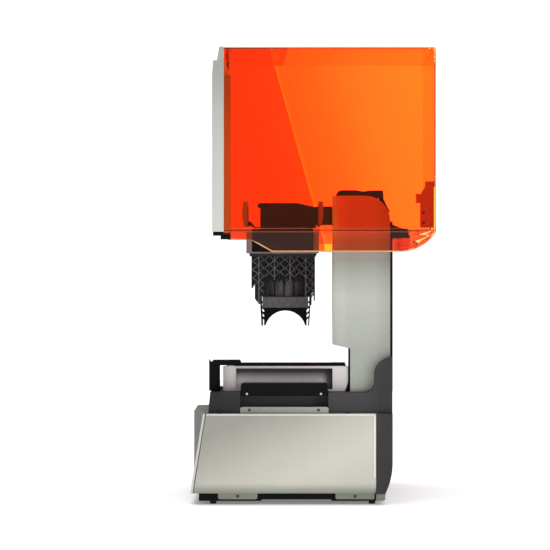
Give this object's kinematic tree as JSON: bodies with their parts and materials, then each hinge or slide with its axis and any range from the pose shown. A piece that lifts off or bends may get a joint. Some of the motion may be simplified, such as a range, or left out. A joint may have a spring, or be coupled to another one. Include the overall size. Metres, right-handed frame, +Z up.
{
  "type": "resin printer",
  "caption": "Desktop masked resin printer with its orange cover hinged open, a tank on the base, and a build platform on a Z tower holding a supported print.",
  "frame": {"origin": "middle of the footprint of the printer with its cover open, on the surface that it stands on", "axes": "+X right seen from the front, -Y towards the front with the touch screen, +Z up"},
  "size_m": [0.398, 0.4307, 0.8027],
  "materials": {
    "panel_silver": "warm silver satin powder coat",
    "tower_silver": "green-grey silver satin powder coat",
    "housing_grey": "dark grey fine-grain moulding",
    "black_plastic": "black moulding, satin",
    "black_glass": "black touch glass, gloss",
    "orange_cover": "transparent orange acrylic, polished",
    "tank_satin": "pinkish silver satin moulding",
    "clear_film": "clear release film",
    "plate_aluminium": "bead-blasted anodised",
    "grip_grey": "grey anodised",
    "bright_steel": "ground steel",
    "spring_black": "black oxide spring steel",
    "frame_aluminium": "milled",
    "bronze": "bronze nut",
    "motor_black": "black lacquer",
    "rubber": "soft black rubber",
    "board_green": "solder mask",
    "supply_steel": "zinc plated",
    "lens_clear": "clear lens moulding",
    "screen_dark": "dark masking screen",
    "print_grey": "cured grey resin",
    "support_black": "cured resin supports",
    "bracket_light": "light satin paint"
  },
  "bodies": {
    "chassis": {"bottom_pan": "black_plastic", "rubber_feet": "rubber", "left_side_panel": "panel_silver", "right_side_panel": "panel_silver", "front_panel": "panel_silver", "display_housing": "panel_silver", "touch_screen": "black_glass", "upper_deck": "housing_grey", "cover_bumpers": "rubber", "rear_housing": "housing_grey", "rear_cover": "black_plastic", "power_inlet": "black_plastic", "data_ports": "bright_steel", "panel_screws": "bright_steel", "light_box_shell": "black_plastic", "led_array": "board_green", "heat_sink": "frame_aluminium", "collimator_lens": "lens_clear", "screen_panel": "screen_dark", "fan_housing": "black_plastic", "main_board": "board_green", "power_supply": "supply_steel", "tower_shell": "tower_silver", "tower_back": "black_plastic", "vent_plate": "black_plastic", "tower_frame": "frame_aluminium", "z_rails": "bright_steel", "z_motor": "motor_black", "hinge_blocks": "frame_aluminium", "hinge_pins": "bright_steel", "cartridge_bay": "black_plastic", "mixer_rail": "bright_steel", "mixer_motor": "motor_black"},
    "carriage": {"carriage_plate": "motor_black", "carriage_arms": "spring_black", "lead_nut": "bronze"},
    "screw": {"lead_screw": "bright_steel"},
    "platform": {"build_plate": "plate_aluminium", "platform_body": "black_plastic", "lever_springs": "spring_black", "rear_grip": "grip_grey", "sample_print": "print_grey", "print_supports": "support_black"},
    "lever": {"release_lever": "grip_grey"},
    "mixer_slider": {"mixer_drive": "black_plastic"},
    "mixer": {"resin_mixer": "black_plastic"},
    "tank": {"resin_tank": "tank_satin", "tank_film": "clear_film", "tank_handles": "black_plastic"},
    "cartridge": {"cartridge_body": "black_plastic", "cartridge_lid": "black_plastic"},
    "cover": {"cover_shell": "orange_cover", "cover_strips": "panel_silver", "cover_lip": "panel_silver", "cover_end_caps": "black_plastic", "hinge_arms": "spring_black", "cover_brackets": "bracket_light"},
    "fan": {"fan_rotor": "black_plastic"},
    "rocker": {"power_switch": "black_plastic"}
  },
  "joints": [
    {"name": "cover_hinge", "type": "hinge", "parent": "chassis", "child": "cover", "pos_m": [0, 0.1276, 0.4666], "axis": [-1, 0, 0], "range_deg": [-90, 0]},
    {"name": "z_travel", "type": "slide", "parent": "chassis", "child": "carriage", "axis": [0, 0, 1], "range_m": [-0.239, 0], "deforming": ["print_supports", "sample_print"]},
    {"name": "screw_turn", "type": "hinge", "parent": "chassis", "child": "screw", "pos_m": [0, 0.098, 0.38], "axis": [0, 0, 1], "continuous": true},
    {"name": "platform_release", "type": "slide", "parent": "carriage", "child": "platform", "axis": [0, -1, 0], "range_m": [0, 0.15]},
    {"name": "lever_turn", "type": "hinge", "parent": "platform", "child": "lever", "pos_m": [0, -0.115, 0.494], "axis": [1, 0, 0], "range_deg": [0, 25], "stiffness_Nm_per_rad": 0.4},
    {"name": "mixer_travel", "type": "slide", "parent": "chassis", "child": "mixer_slider", "axis": [1, 0, 0], "range_m": [-0.248, 0]},
    {"name": "mixer_follow", "type": "slide", "parent": "tank", "child": "mixer", "axis": [1, 0, 0], "range_m": [-0.248, 0]},
    {"name": "tank_lift", "type": "slide", "parent": "chassis", "child": "tank", "axis": [0, 0, 1], "range_m": [0, 0.026]},
    {"name": "cartridge_lift", "type": "slide", "parent": "chassis", "child": "cartridge", "axis": [0, 0, 1], "range_m": [0, 0.15]},
    {"name": "fan_spin", "type": "hinge", "parent": "chassis", "child": "fan", "pos_m": [-0.07, 0.125, 0.105], "axis": [0, 1, 0], "continuous": true},
    {"name": "switch_rock", "type": "hinge", "parent": "chassis", "child": "rocker", "pos_m": [0.105, 0.135, 0.09], "axis": [-1, 0, 0], "range_deg": [0, 16]}
  ],
  "couplings": [
    {"joint": "screw_turn", "follows": "z_travel", "rad_per_m": 785.4},
    {"joint": "mixer_follow", "follows": "mixer_travel", "ratio": 1}
  ]
}
